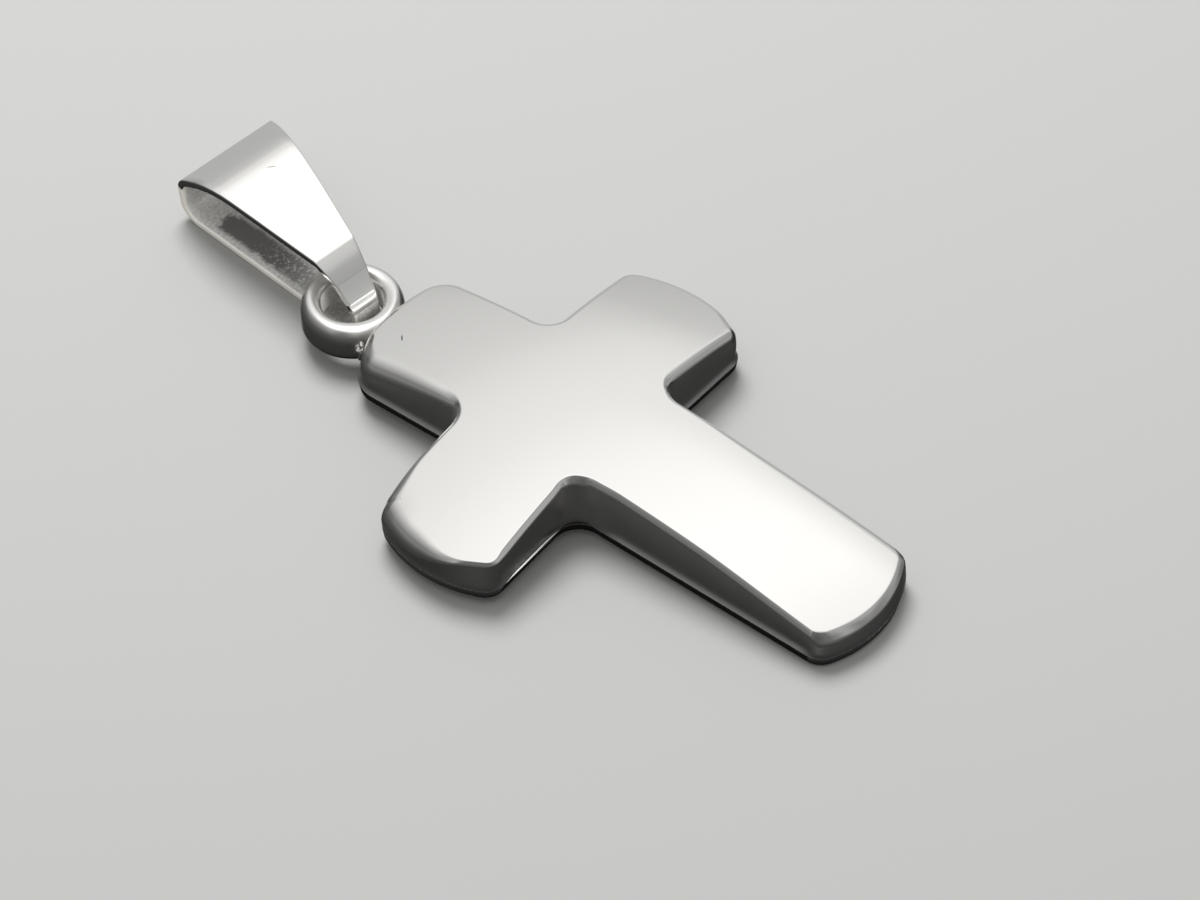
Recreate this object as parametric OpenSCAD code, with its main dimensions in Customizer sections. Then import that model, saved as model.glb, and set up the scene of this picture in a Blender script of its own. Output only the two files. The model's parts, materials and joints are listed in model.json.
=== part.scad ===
// Cross pendant: a domed cross with a soldered ring, and a folded leaf-shaped bail hung in the ring.
// The pendant lies on a surface as it is put down. The foot of the cross touches the surface, and the
// strap of the bail that passes under the ring props up the other end. The origin is on the flat back
// of the cross, under the middle of its crossing. +X is along the cross arms, +Y towards the bail and
// +Z up from the surface. Lengths are in millimetres.

/* [Cross] */
// From the middle of the crossing to the tip of the foot
foot_len = 15.9; // [12:0.1:24]
// From the middle of the crossing to the tip of the top arm
top_len = 9.1; // [7:0.1:13]
// From the middle of the crossing to the tip of a side arm
arm_len = 8.8; // [7:0.1:12]
// Width of the bars where they cross
bar_w = 5.6; // [4.5:0.1:6.5]
// Width of the bars at their ends
end_w = 5.76; // [4.6:0.02:6.8]
// Height of the middle of the face above the flat back
crown_h = 3.15; // [2.8:0.05:4.5]
// Radius of the face from the crossing towards the foot
foot_face_r = 86; // [80:1:200]
// Radius of the face from the crossing towards the top
top_face_r = 38; // [35:1:120]
// Radius of the face from side to side
side_face_r = 31; // [28:1:90]

/* [Ends and corners] */
// How far the foot's end bows out
foot_bow = 0.88; // [0.3:0.02:1.4]
// How far the side arms' ends bow out
arm_bow = 0.8; // [0.3:0.02:1.4]
// How far the top end bows out
top_bow = 0.45; // [0.3:0.01:1]
// Corner radius of the foot
foot_corner_r = 0.85; // [0.3:0.05:1.6]
// Corner radius of the side arms
arm_corner_r = 0.77; // [0.3:0.01:1.6]
// Corner radius of the top arm
top_corner_r = 1.2; // [0.3:0.05:1.6]
// Radius in the four inner corners of the body
inner_r = 0.93; // [0.4:0.01:1.5]

/* [Back plate] */
// Thickness of the back plate
plate_t = 0.47; // [0.3:0.01:0.9]
// How far the back plate stands proud of the body
plate_proud = 0.11; // [0.04:0.01:0.2]
// Radius in the four inner corners of the back plate
plate_inner_r = 1.2; // [0.6:0.05:1.8]

/* [Ring] */
// Radius of the ring's hole
ring_hole_r = 1.32; // [1.25:0.01:2]
// Thickness of the ring, from its hole outwards
ring_wall = 0.86; // [0.6:0.01:1.3]
// Height of the ring along its hole
ring_h = 1.76; // [1.2:0.02:2]
// How deep the ring is let into the end of the cross
ring_sink = 0.15; // [0.1:0.01:0.4]
// Radius of the ring's rounded edges
ring_edge_r = 0.41; // [0.1:0.01:0.5]

/* [Bail] */
// Length of the bail from its toe in the ring to its fold
bail_len = 10.88; // [8:0.05:14]
// Width of the strap at the fold
fold_w = 5; // [3:0.05:6]
// Width of the strap at the toe
toe_w = 1.3; // [0.8:0.02:1.5]
// Thickness of the strap
strap_t = 0.34; // [0.2:0.01:0.5]
// Outer height of the loop at the fold
fold_h = 2.28; // [1.8:0.02:3]
// From the fold to the brow, where the upper strap starts to bend down to it
brow_run = 2.14; // [1.2:0.02:3]
// Radius inside the strap at its brow
brow_r = 5.66; // [2:0.02:7]
// How far the upper strap arches between its brow and its first crease
arch_rise = 0.04; // [0.02:0.01:0.12]
// From the middle of the ring's hole to the first crease of the upper strap
crease_1 = 1.6; // [1.3:0.02:2.2]
// From the middle of the ring's hole to the second crease
crease_2 = 0.43; // [0.1:0.01:0.8]
// How far the strap falls from its first crease to its second
crease_drop = 0.67; // [0.4:0.01:0.8]
// Height of the third crease, where the strap turns upright, above the back of the cross
crease_3_h = 1.2; // [0.6:0.01:1.4]
// Gap between the ring and the strap that passes under it
under_gap = 0.12; // [0.08:0.01:0.4]
// Gap between the ring and the strap that passes over it
over_gap = 0.88; // [0.6:0.01:1.2]
// Turn of the bail about the ring's hole, seen from above
bail_turn = -16; // [-18:1:0]
// Tip of the bail to one edge of its strap
bail_roll = 5; // [0:1:6]
// Gap between the ring's hole and the corner of the strap's toe that leans on it
toe_gap = 0.1; // [0.05:0.01:0.3]
// Skew of the fold across the strap
fold_skew = 5; // [0:1:8]

/* [Hidden] */

corner_steps = 8;
end_steps = 24;
bend_steps = 12;
fine = 180;
spare = 1.5;

ring_r = ring_hole_r + ring_wall;
ring_y = top_len + ring_r - ring_sink;

// The bail is described from the middle of the ring at the height of the cross's back: along it, up and
// across its strap. Its toe hangs a third of the hole's radius past the middle of the hole, with one corner
// against the wall of the hole, and the strap under the ring is low enough for its raised edge to clear it.
toe_v = -ring_hole_r/3;
bail_off = sqrt(pow(ring_hole_r - toe_gap, 2) - toe_v*toe_v) - toe_w/2;
fold_v = toe_v + bail_len;
drop = strap_t + under_gap + (bail_off + strap_half(ring_hole_r))*sin(bail_roll);
rise = ring_h + over_gap + strap_t;

// The lower edge of the strap's toe rests on the surface, which gives the cross its lean. The strap slopes
// just enough for its lower edge to rest there at the fold too.
toe_u = bail_off - strap_half(toe_v);
lean = atan(strap_depth(-drop, toe_u)/(strap_y(toe_v, toe_u) + foot_len + plate_proud));
rest_v = fold_v - fold_h/2;
rest_u = bail_off - strap_half(rest_v);
rest_depth = (strap_y(rest_v, rest_u) + foot_len + plate_proud)*tan(lean);
heel_up = -(rest_depth + rest_u*sin(bail_roll))/cos(bail_roll);

// Corners of the loop's outer outline: along, up and the bend's radius on the inside of the strap. The strap
// curves a little between its first two creases, and a narrow lip lies over the third.
crisp_r = strap_t/3;
fold_bend = 0.42*fold_h - strap_t;
brow_v = fold_v - brow_run;
lip_run = strap_t/4;
lip_rise = 0.9*strap_t;
facet_sag = 0.42*crease_drop;
facet_r = 2.2;
LOOP = [
    [toe_v, -drop, crisp_r],
    [fold_v, heel_up, fold_bend],
    [fold_v, heel_up + fold_h, fold_bend],
    [brow_v, rise - arch_rise, brow_r],
    [(brow_v + crease_1)/2, rise + arch_rise, 3*bail_len],
    [crease_1, rise, crisp_r],
    [(crease_1 + crease_2)/2, rise - facet_sag, facet_r],
    [crease_2, rise - crease_drop, crisp_r],
    [toe_v + lip_run, crease_3_h + lip_rise, crisp_r],
    [toe_v, crease_3_h, crisp_r]
];

// Depth under the cross's back, and place along it, of a point across the strap
function strap_depth(up, u) = -up*cos(bail_roll) - u*sin(bail_roll);
function strap_y(v, u) = ring_y + v*cos(bail_turn) + u*cos(bail_roll)*sin(bail_turn);

// Half the width of the strap at a place along the bail
function strap_half(v) = (toe_w + (fold_w - toe_w)*(v - toe_v)/bail_len)/2;

function turned(p, a) = [p.x*cos(a) - p.y*sin(a), p.x*sin(a) + p.y*cos(a)];
function arc(middle, r, from, to, steps) =
    [for (i = [0:steps]) let (a = from + (to - from)*i/steps) middle + r*[cos(a), sin(a)]];

// End of an arm that points along +X: a corner, the bowed tip and the other corner, run together.
// The corners' arcs touch the side of the arm and the arc of the tip.
function arm_end(reach, half, bow, corner) =
    let (
        tip_r = (half*half + bow*bow)/(2*bow),
        tip_x = reach - tip_r,
        corner_y = half - corner,
        corner_x = tip_x + sqrt(pow(tip_r - corner, 2) - corner_y*corner_y),
        meet = atan2(corner_y, corner_x - tip_x),
        tip = arc([tip_x, 0], tip_r, -meet, meet, end_steps)
    )
    concat(
        arc([corner_x, -corner_y], corner, -90, -meet, corner_steps),
        [for (i = [1:end_steps - 1]) tip[i]],
        arc([corner_x, corner_y], corner, meet, 90, corner_steps)
    );

// Plan of the cross, grown outwards all round
module plan(grow, inside_r) {
    half = bar_w/2 + grow;
    arms = [
        [arm_len, arm_bow, arm_corner_r],
        [top_len, top_bow, top_corner_r],
        [arm_len, arm_bow, arm_corner_r],
        [foot_len, foot_bow, foot_corner_r]
    ];
    inside = arc([half + inside_r, half + inside_r], inside_r, 270, 180, corner_steps);
    polygon([
        for (k = [0:3])
            for (p = concat(arm_end(arms[k].x + grow, end_w/2 + grow, arms[k].y, arms[k].z + grow), inside))
                turned(p, 90*k)
    ]);
}

// One half of the domed face, on the +Y side: an arc across the cross swept along an arc of face_r
module face_half(face_r, reach) {
    depth = crown_h + spare;
    translate([0, 0, crown_h - face_r])
        rotate([0, -90, 0])
            rotate_extrude(angle = atan((reach + spare)/(face_r - crown_h)), $fn = 8*fine)
                intersection() {
                    translate([face_r - side_face_r, 0])
                        circle(side_face_r, $fn = 4*fine);
                    translate([face_r - depth, -arm_len - spare])
                        square([depth + spare, 2*(arm_len + spare)]);
                }
}

// Upright wire of the ring, with its edges rounded
module ring() {
    edge_r = min(ring_edge_r, 0.48*ring_wall, 0.48*ring_h);
    corners = [
        [ring_r - edge_r, edge_r, -90],
        [ring_r - edge_r, ring_h - edge_r, 0],
        [ring_hole_r + edge_r, ring_h - edge_r, 90],
        [ring_hole_r + edge_r, edge_r, 180]
    ];
    rotate_extrude($fn = fine)
        polygon([
            for (c = corners)
                for (p = arc([c[0], c[1]], edge_r, c[2], c[2] + 90, corner_steps)) p
        ]);
}

// Outline of the bail's loop, set in from the outside by the given depth
function loop(inset) =
    let (last = len(LOOP) - 1)
    [
        for (i = [0:last])
            let (
                corner = [LOOP[i][0], LOOP[i][1]],
                before = LOOP[i == 0 ? last : i - 1],
                after = LOOP[i == last ? 0 : i + 1],
                in = corner - [before[0], before[1]],
                out = [after[0], after[1]] - corner,
                side_in = [in.y, -in.x]/norm(in),
                side_out = [out.y, -out.x]/norm(out),
                r = LOOP[i][2] + strap_t,
                turn = acos(side_in*side_out),
                from = atan2(side_in.y, side_in.x),
                middle = corner - (side_in + side_out)*r/(1 + side_in*side_out)
            )
            for (p = arc(middle, r - inset, from, from + turn, bend_steps)) p
    ];

module leaned() {
    rotate([lean, 0, 0]) children();
}

// Body, back plate and ring are soldered into one piece
module cross() {
    color("silver")
        leaned() {
            intersection() {
                linear_extrude(crown_h + spare)
                    plan(0, inner_r);
                union() {
                    face_half(top_face_r, top_len);
                    mirror([0, 1, 0])
                        face_half(foot_face_r, foot_len);
                }
            }
            linear_extrude(plate_t)
                plan(plate_proud, plate_inner_r);
            translate([0, ring_y, 0])
                ring();
        }
}

// A leaf-shaped strap bent into a closed loop that passes through the ring
module bail() {
    wide = fold_w + 2*spare;
    leaf = [
        [-strap_half(toe_v - spare), toe_v - spare],
        [strap_half(toe_v - spare), toe_v - spare],
        [strap_half(fold_v + spare), fold_v + spare],
        [-strap_half(fold_v + spare), fold_v + spare]
    ];
    color("gainsboro")
        leaned()
            translate([0, ring_y, 0])
                rotate([0, -bail_roll, bail_turn])
                    translate([bail_off, 0, 0])
                        intersection() {
                            rotate([90, 0, 90 + fold_skew])
                                translate([0, 0, -wide/2])
                                    linear_extrude(wide)
                                        difference() {
                                            polygon(loop(0));
                                            polygon(loop(strap_t));
                                        }
                            translate([0, 0, -drop - spare])
                                linear_extrude(drop + rise + strap_t + 2*spare)
                                    polygon(leaf);
                        }
}

cross();
bail();
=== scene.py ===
"""Cross pendant in polished silver: a domed cross on a back plate, a soldered ring and a folded bail."""
import json
import math

import bmesh
import bpy
from bpy.props import FloatProperty, FloatVectorProperty, PointerProperty
from mathutils import Euler, Matrix, Vector, kdtree, noise


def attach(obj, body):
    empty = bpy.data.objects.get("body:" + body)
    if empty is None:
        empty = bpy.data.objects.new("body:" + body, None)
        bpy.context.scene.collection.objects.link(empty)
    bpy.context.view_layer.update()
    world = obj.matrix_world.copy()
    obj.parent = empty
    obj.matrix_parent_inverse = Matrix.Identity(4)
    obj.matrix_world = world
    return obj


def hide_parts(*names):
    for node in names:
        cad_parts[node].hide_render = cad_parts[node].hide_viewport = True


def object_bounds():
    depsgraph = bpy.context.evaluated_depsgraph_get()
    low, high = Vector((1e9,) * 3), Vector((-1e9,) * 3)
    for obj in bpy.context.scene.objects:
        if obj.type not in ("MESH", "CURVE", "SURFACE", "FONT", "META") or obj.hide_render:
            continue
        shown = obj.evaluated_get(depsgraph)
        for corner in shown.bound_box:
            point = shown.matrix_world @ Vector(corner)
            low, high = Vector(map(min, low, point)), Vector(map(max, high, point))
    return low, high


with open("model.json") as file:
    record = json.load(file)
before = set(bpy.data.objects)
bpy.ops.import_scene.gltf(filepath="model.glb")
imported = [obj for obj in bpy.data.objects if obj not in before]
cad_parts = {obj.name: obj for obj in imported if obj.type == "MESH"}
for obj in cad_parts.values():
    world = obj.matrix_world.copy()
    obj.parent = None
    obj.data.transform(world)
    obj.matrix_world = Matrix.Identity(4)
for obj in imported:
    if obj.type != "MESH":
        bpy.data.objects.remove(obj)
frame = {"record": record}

bl_info = {
    "name": "Cross Pendant",
    "version": (1, 0, 0),
    "blender": (4, 5, 0),
    "location": "View3D > Sidebar > Pendant",
    "description": "Builds a silver cross pendant with its ring, its bail and a plain stage",
    "category": "Add Mesh",
}

MM = 0.001
CAD_BOX = [list(corner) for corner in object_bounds()]
BACK_AXIS = Vector(frame["record"]["mounts"][0]["axis"])
LEAN = math.atan2(BACK_AXIS.y, -BACK_AXIS.z)


# Properties that a user would change

def length(label, millimetres, text):
    return FloatProperty(
        name=label, description=text, default=millimetres * MM, min=0.0,
        subtype="DISTANCE", unit="LENGTH", precision=5,
    )


def angle(label, degrees, text):
    return FloatProperty(
        name=label, description=text, default=math.radians(degrees), subtype="ANGLE", unit="ROTATION",
    )


def linear(hex_code):
    """An sRGB hex colour as linear red, green and blue."""
    parts = [int(hex_code[i:i + 2], 16) / 255 for i in (0, 2, 4)]
    return tuple(c / 12.92 if c <= 0.04045 else ((c + 0.055) / 1.055) ** 2.4 for c in parts)


def colour(label, hex_code, text):
    return FloatVectorProperty(
        name=label, description=text, default=linear(hex_code), size=3, min=0.0, max=1.0, subtype="COLOR",
    )


class CrossSizes(bpy.types.PropertyGroup):
    foot_len: length("Foot", 15.9, "From the middle of the crossing to the tip of the foot")
    top_len: length("Top arm", 9.1, "From the middle of the crossing to the tip of the top arm")
    arm_len: length("Side arm", 8.8, "From the middle of the crossing to the tip of a side arm")
    bar_w: length("Bar width", 5.6, "Width of the bars where they cross")
    end_w: length("End width", 5.76, "Width of the bars at their ends")
    crown_h: length("Crown", 3.15, "Height of the middle of the face above the flat back")
    foot_face_r: length("Foot face radius", 86, "Radius of the face towards the foot")
    top_face_r: length("Top face radius", 38, "Radius of the face towards the top")
    side_face_r: length("Side face radius", 31, "Radius of the face from side to side")
    foot_bow: length("Foot bow", 0.88, "How far the end of the foot bows out")
    arm_bow: length("Arm bow", 0.8, "How far the ends of the side arms bow out")
    top_bow: length("Top bow", 0.45, "How far the top end bows out")
    foot_corner_r: length("Foot corner", 0.85, "Corner radius of the foot")
    arm_corner_r: length("Arm corner", 0.77, "Corner radius of the side arms")
    top_corner_r: length("Top corner", 1.2, "Corner radius of the top arm")
    worn_r: length("Worn corner", 1.7, "How far the worn corner of the left arm reaches in")
    worn_h: length("Wear", 0.25, "How far that corner is worn down")
    inner_r: length("Inner corner", 0.93, "Radius of the inner corners of the walls")
    wall_swell: length("Wall swell", 0.03, "How far the walls swell out at half their height")
    flare_h: length("Flare", 0.25, "Height of the flare from the walls to the edge of the back plate")
    edge: length("Edge", 0.21, "Width of the rounded edge round the face")
    sharp_edge: length("Sharp edge", 0.12, "Width of that edge where it is nearly sharp")
    soft_edge: length("Soft edge", 0.7, "Width of that edge where it is buffed away")
    plate_t: length("Plate", 0.47, "Thickness of the back plate")
    plate_proud: length("Plate rim", 0.11, "How far the back plate stands proud of the walls")
    plate_inner_r: length("Plate inner corner", 1.2, "Radius of the inner corners of the back plate")
    plate_edge: length("Plate edge", 0.11, "Radius of the upper edge of the back plate where it is rounded")
    plate_foot: length("Plate foot", 0.12, "Radius of the lower edge of the back plate")
    plate_taper: length("Plate taper", 0.05, "How far the edge of the back plate draws in towards its foot")


class RingSizes(bpy.types.PropertyGroup):
    hole_r: length("Hole", 1.32, "Radius of the hole of the ring")
    wall: length("Wall", 0.86, "Thickness of the ring from its hole outwards")
    height: length("Height", 1.76, "Height of the ring along its hole")
    sink: length("Sink", 0.15, "How deep the ring is let into the end of the cross")
    edge_r: length("Edge", 0.41, "Radius of the rounded edges of the ring")
    ridge_h: length("Ridge", 1.02, "Height of the faint ridge round the outside of the ring")


class BailSizes(bpy.types.PropertyGroup):
    length: length("Length", 10.88, "From the toe in the ring to the fold")
    fold_w: length("Fold width", 5.0, "Width of the strap at the fold")
    toe_w: length("Toe width", 1.3, "Width of the strap at the toe")
    belly: length("Belly", 0.07, "How far the long edges of the strap bow out")
    strap_t: length("Strap", 0.34, "Thickness of the strap")
    fold_h: length("Fold height", 2.28, "Outer height of the loop at the fold")
    brow_run: length("Brow", 2.14, "From the fold to the brow, where the strap starts to bend down to it")
    brow_r: length("Brow radius", 5.66, "Inside radius of the strap at its brow")
    arch_rise: length("Arch", 0.04, "How far the strap arches between its brow and its first crease")
    crease_1: length("First crease", 1.6, "From the middle of the ring to the first crease of the strap")
    crease_2: length("Second crease", 0.43, "From the middle of the ring to the second crease")
    crease_drop: length("Crease drop", 0.67, "How far the strap falls from its first crease to its second")
    crease_3_h: length("Third crease", 1.2, "Height of the crease where the strap turns upright")
    lip_run: length("Lip run", 0.24, "How far the lip over the third crease reaches along the bail")
    lip_rise: length("Lip rise", 0.36, "How far the lip over the third crease rises")
    under_gap: length("Gap under", 0.12, "Gap between the ring and the strap under it")
    over_gap: length("Gap over", 0.88, "Gap between the ring and the strap over it")
    toe_gap: length("Gap beside", 0.1, "Gap between the hole and the corner of the toe")
    edge_r: length("Outer edge", 0.05, "Radius of the outer edges of the strap")
    inner_edge_r: length("Inner edge", 0.14, "Radius of the inner edges of the strap")
    turn: angle("Turn", -16, "Turn of the bail about the hole of the ring")
    roll: angle("Roll", 5, "Tip of the bail to one edge of its strap")
    skew: angle("Skew", 5, "Skew of the fold across the strap")


class Finishes(bpy.types.PropertyGroup):
    silver: colour("Silver", "F5F4F1", "Colour of the polished sterling silver")
    raw_silver: colour("Raw silver", "DCDBD8", "Colour of the unpolished silver inside the bail")
    polish: FloatProperty(
        name="Polish", description="Roughness of the polished faces", default=0.11, min=0, max=1, subtype="FACTOR",
    )
    floor: colour("Floor", "B2B2B0", "Colour of the floor")


class PendantSettings(bpy.types.PropertyGroup):
    cross: PointerProperty(name="Cross", description="Sizes of the cross", type=CrossSizes)
    ring: PointerProperty(name="Ring", description="Sizes of the ring", type=RingSizes)
    bail: PointerProperty(name="Bail", description="Sizes of the bail", type=BailSizes)
    finish: PointerProperty(name="Finish", description="Colours and polish", type=Finishes)


# Nodes and materials

def add_node(tree, kind, inputs=None, output=None, stops=(), **settings):
    """Adds a shader node with its settings and gives the named output, or the first that is in use. An input is
    linked where it is another node's output, and set otherwise. A ramp's stops are pairs of a place and a grey."""
    node = tree.nodes.new("ShaderNode" + kind)
    for key, value in settings.items():
        setattr(node, key, value)
    for socket, value in (inputs or {}).items():
        if isinstance(value, bpy.types.NodeSocket):
            tree.links.new(value, node.inputs[socket])
        else:
            node.inputs[socket].default_value = value
    if stops:
        elements = node.color_ramp.elements
        elements.remove(elements[1])
        elements[0].position = stops[0][0]
        for place, _ in stops[1:]:
            elements.new(place)
        for element, (_, grey) in zip(elements, stops):
            element.color = (grey, grey, grey, 1.0)
    return node.outputs[output] if output else next(made for made in node.outputs if made.enabled)


def new_material(name, values):
    """A material, its nodes and its shader, with the values on the shader's own sockets."""
    material = bpy.data.materials.new(name)
    material.use_nodes = True
    shader = material.node_tree.nodes["Principled BSDF"]
    for socket, value in values.items():
        shader.inputs[socket].default_value = value
    return material, material.node_tree, shader


def multiplied(tree, ramps):
    """The product of grey ramps, each given as the value that runs along it and its stops."""
    made = None
    for value, stops in ramps:
        grey = add_node(tree, "ValToRGB", {"Fac": value}, stops=stops)
        made = grey if made is None else add_node(tree, "Math", {0: made, 1: grey}, operation="MULTIPLY")
    return made


def buffed_silver(name, finish, turn, dull=0.0, hairline=0.05 * MM, depth=0.0004 * MM, nick=None):
    """Sterling silver, cast or rolled, then buffed on a wheel. The eye sees a clear, slightly soft mirror with
    very fine buffing lines one way; a dull piece, which the wheel reached badly, shows softer reflections. A nick
    is a small dark mark: its middle, turn, half length and half width."""
    material, tree, shader = new_material(name, {"Base Color": (*finish.silver, 1.0), "Metallic": 1.0})
    place = add_node(tree, "TexCoord", output="Object")
    if nick:
        middle, nick_turn, half_length, half_width = nick
        around = add_node(tree, "Mapping", {
            "Vector": place, "Location": middle, "Rotation": (0.0, 0.0, nick_turn),
            "Scale": (half_length, half_width, MM),
        }, vector_type="TEXTURE")
        reach = add_node(tree, "VectorMath", {0: around}, operation="LENGTH")
        scar = add_node(tree, "ValToRGB", {"Fac": reach}, stops=[(0.4, 0.85), (1.0, 0.0)])
        marked = add_node(tree, "Mix", {
            "Factor": scar, "A": (*finish.silver, 1.0), "B": (*linear("383838"), 1.0),
        }, data_type="RGBA")
        tree.links.new(marked, shader.inputs["Base Color"])
    lines = add_node(tree, "Mapping", {
        "Vector": place, "Rotation": (0.0, 0.0, turn), "Scale": (1 / (40 * hairline), 1 / hairline, 1 / (5 * MM)),
    })
    hairs = add_node(tree, "TexNoise", {"Vector": lines, "Scale": 1.0, "Detail": 3.0, "Roughness": 0.6})
    bump = add_node(tree, "Bump", {"Height": hairs, "Strength": 1.0, "Distance": depth})
    tree.links.new(bump, shader.inputs["Normal"])
    # The polish is a little cloudy
    cloud = add_node(tree, "TexNoise", {"Vector": place, "Scale": 1 / (2.5 * MM), "Detail": 2.0})
    swing = 0.08
    polish = finish.polish + dull - swing / 2
    roughness = add_node(tree, "Math", {0: cloud, 1: swing, 2: polish}, operation="MULTIPLY_ADD")
    tree.links.new(roughness, shader.inputs["Roughness"])
    return material


def tarnished_silver(name):
    """Painted shade: silver darkened to a dull dark grey in the seam and on the side of the back plate. It stands in
    for the shade and the dark reflections close to the floor there. The eye sees a dull dark line."""
    values = {"Base Color": (*linear("242220"), 1.0), "Metallic": 0.4, "Roughness": 0.6}
    return new_material(name, values)[0]


def raw_silver(name, finish, film_area=None):
    """Sterling silver as it left the annealing torch and the pickle: a matt white skin over the metal. The eye sees
    pale, finely mottled grey. Inside the bail a dark patch of painted shade lies where the upper strap shades the
    lower one, with a painted highlight along the strap's near edge and bright specks towards the ring."""
    material, tree, shader = new_material(name, {"Metallic": 0.35, "Roughness": 0.45})
    place = add_node(tree, "TexCoord", output="Object")
    pits = add_node(tree, "TexNoise", {"Vector": place, "Scale": 1 / (0.12 * MM), "Detail": 3.0, "Roughness": 0.7})
    bump = add_node(tree, "Bump", {"Height": pits, "Strength": 1.0, "Distance": 0.015 * MM})
    tree.links.new(bump, shader.inputs["Normal"])
    mottle = add_node(tree, "ValToRGB", {"Fac": pits}, stops=[(0.3, 0.62), (0.7, 1.0)])
    skin = add_node(tree, "Mix", {
        "Factor": 1.0, "A": mottle, "B": (*finish.raw_silver, 1.0),
    }, data_type="RGBA", blend_type="MULTIPLY")
    if film_area:
        # How far a point is along the strap and from its near edge, plain and with a ragged border
        cloud = add_node(tree, "TexNoise", {
            "Vector": place, "Scale": 1 / (0.7 * MM), "Detail": 7.0, "Roughness": 0.75,
        })
        border = add_node(tree, "Math", {0: cloud, 1: 0.25, 2: -0.125}, operation="MULTIPLY_ADD")
        plain, ragged = [], []
        for direction, start in film_area:
            way = add_node(tree, "VectorMath", {0: place, 1: direction}, operation="DOT_PRODUCT")
            plain.append(add_node(tree, "Math", {0: way, 1: start}, operation="SUBTRACT"))
            ragged.append(add_node(tree, "Math", {0: plain[-1], 1: border}, operation="ADD"))
        # Painted shade: the dark patch inside the loop, where the upper strap shades the lower one
        film = multiplied(tree, [
            (ragged[0], [(0.18, 0.0), (0.36, 0.55), (0.5, 1.0), (0.85, 1.0), (0.88, 0.0)]),
            (ragged[1], [(0.1, 0.0), (0.16, 1.0), (0.44, 1.0), (0.56, 0.0)]),
        ])
        # Bright specks, fading away from the ring
        worn = multiplied(tree, [
            (pits, [(0.56, 0.0), (0.62, 1.0)]),
            (ragged[0], [(0.1, 0.8), (0.45, 0.6), (0.7, 0.0)]),
        ])
        # Painted highlight: a light cream line along the near edge of the strap
        rim = multiplied(tree, [(plain[1], [(0.01, 1.0), (0.04, 0.0)])])
        for part, shade in ((film, "6F6E6C"), (worn, "E5E4E2"), (rim, "EAE6DE")):
            inputs = {"Factor": part, "A": skin, "B": (*linear(shade), 1.0)}
            skin = add_node(tree, "Mix", inputs, data_type="RGBA")
    tree.links.new(skin, shader.inputs["Base Color"])
    return material


# Shapes in plan

def arc(middle, radius, start, end, steps, facing):
    """Points of an arc with the direction that points out of the metal: 1 away from the middle, -1 towards it."""
    made = []
    for i in range(steps + 1):
        a = start + (end - start) * i / steps
        out = Vector((math.cos(a), math.sin(a)))
        made.append((Vector(middle) + radius * out, facing * out))
    return made


def spaced(run, count, turn_weight=0.6 * MM):
    """The run shared out into count equal steps, closer together where it turns."""
    reach = [0.0]
    for (p, n), (q, m) in zip(run, run[1:]):
        turn = math.acos(max(-1.0, min(1.0, n.dot(m))))
        reach.append(reach[-1] + (q - p).length + turn_weight * turn)
    made, k = [], 0
    for i in range(count + 1):
        at = reach[-1] * i / count
        while k < len(run) - 2 and reach[k + 1] < at:
            k += 1
        step = reach[k + 1] - reach[k]
        f = min(1.0, max(0.0, (at - reach[k]) / step)) if step > 0 else 0.0
        made.append((run[k][0].lerp(run[k + 1][0], f), run[k][1].lerp(run[k + 1][1], f).normalized()))
    return made


def arms_of(sizes):
    """Reach, bow and corner radius of the arms along +X, +Y, -X and -Y."""
    side = (sizes.arm_len, sizes.arm_bow, sizes.arm_corner_r)
    return [
        side,
        (sizes.top_len, sizes.top_bow, sizes.top_corner_r),
        side,
        (sizes.foot_len, sizes.foot_bow, sizes.foot_corner_r),
    ]


# Steps across an arm, along the sides of the arms at +X, +Y, -X and -Y, and round each bend of a side
COLUMNS = 34
SIDE_STEPS = (34, 34, 34, 72)
BEND_STEPS = 8


def arm_runs(sizes, arm, inner_r, steps):
    """The left side, right side and tip of an arm that points along +X, each from the crossing outwards or
    from left to right, as points with their outward directions."""
    reach, bow, corner = arm
    half, end_half = sizes.bar_w / 2, sizes.end_w / 2
    tip_r = (end_half ** 2 + bow ** 2) / (2 * bow)
    tip_x, corner_y = reach - tip_r, end_half - corner
    corner_x = tip_x + math.sqrt((tip_r - corner) ** 2 - corner_y ** 2)
    meet = math.atan2(corner_y, corner_x - tip_x)
    turn = (math.pi / 2 + meet) / 2
    inside = (half + inner_r, half + inner_r)
    upper = arc(inside, inner_r, math.radians(225), math.radians(270), BEND_STEPS, -1)
    outer = arc((corner_x, corner_y), corner, math.pi / 2, turn, BEND_STEPS, 1)
    (a, n), (b, m) = upper[-1], outer[0]
    straight = steps - 2 * BEND_STEPS
    upper += [(a.lerp(b, i / straight), n.lerp(m, i / straight)) for i in range(1, straight)] + outer
    tip = arc((corner_x, -corner_y), corner, -turn, -meet, 12, 1)
    tip += arc((tip_x, 0.0), tip_r, -meet, meet, 40, 1)[1:-1]
    tip += arc((corner_x, corner_y), corner, meet, turn, 12, 1)
    lower = [(Vector((p.x, -p.y)), Vector((n.x, -n.y))) for p, n in upper]
    return {"left": lower, "right": upper, "tip": spaced(tip, COLUMNS)}


def outline_of(sizes, inner_r):
    """Every point of the cross's outline by its address: arm, run and step along the run."""
    made = {}
    for k, arm in enumerate(arms_of(sizes)):
        spin = Matrix.Rotation(math.pi / 2 * k, 2)
        for run, points in arm_runs(sizes, arm, inner_r, SIDE_STEPS[k]).items():
            for i, (p, n) in enumerate(points):
                made[k, run, i] = (spin @ p, spin @ n)
    return made


def smooth(value, low, high):
    """A soft step from 0 at low to 1 at high."""
    t = min(1.0, max(0.0, (value - low) / (high - low)))
    return t * t * (3 - 2 * t)


def smooth_mm(value, low, high):
    """The same for a length, with low and high in millimetres."""
    return smooth(value / MM, low, high)


def left_end(p):
    """1 on the end of the left arm, where the wall runs straight into the plate."""
    return smooth_mm(-p.x, 7.2, 8.0)


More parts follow.
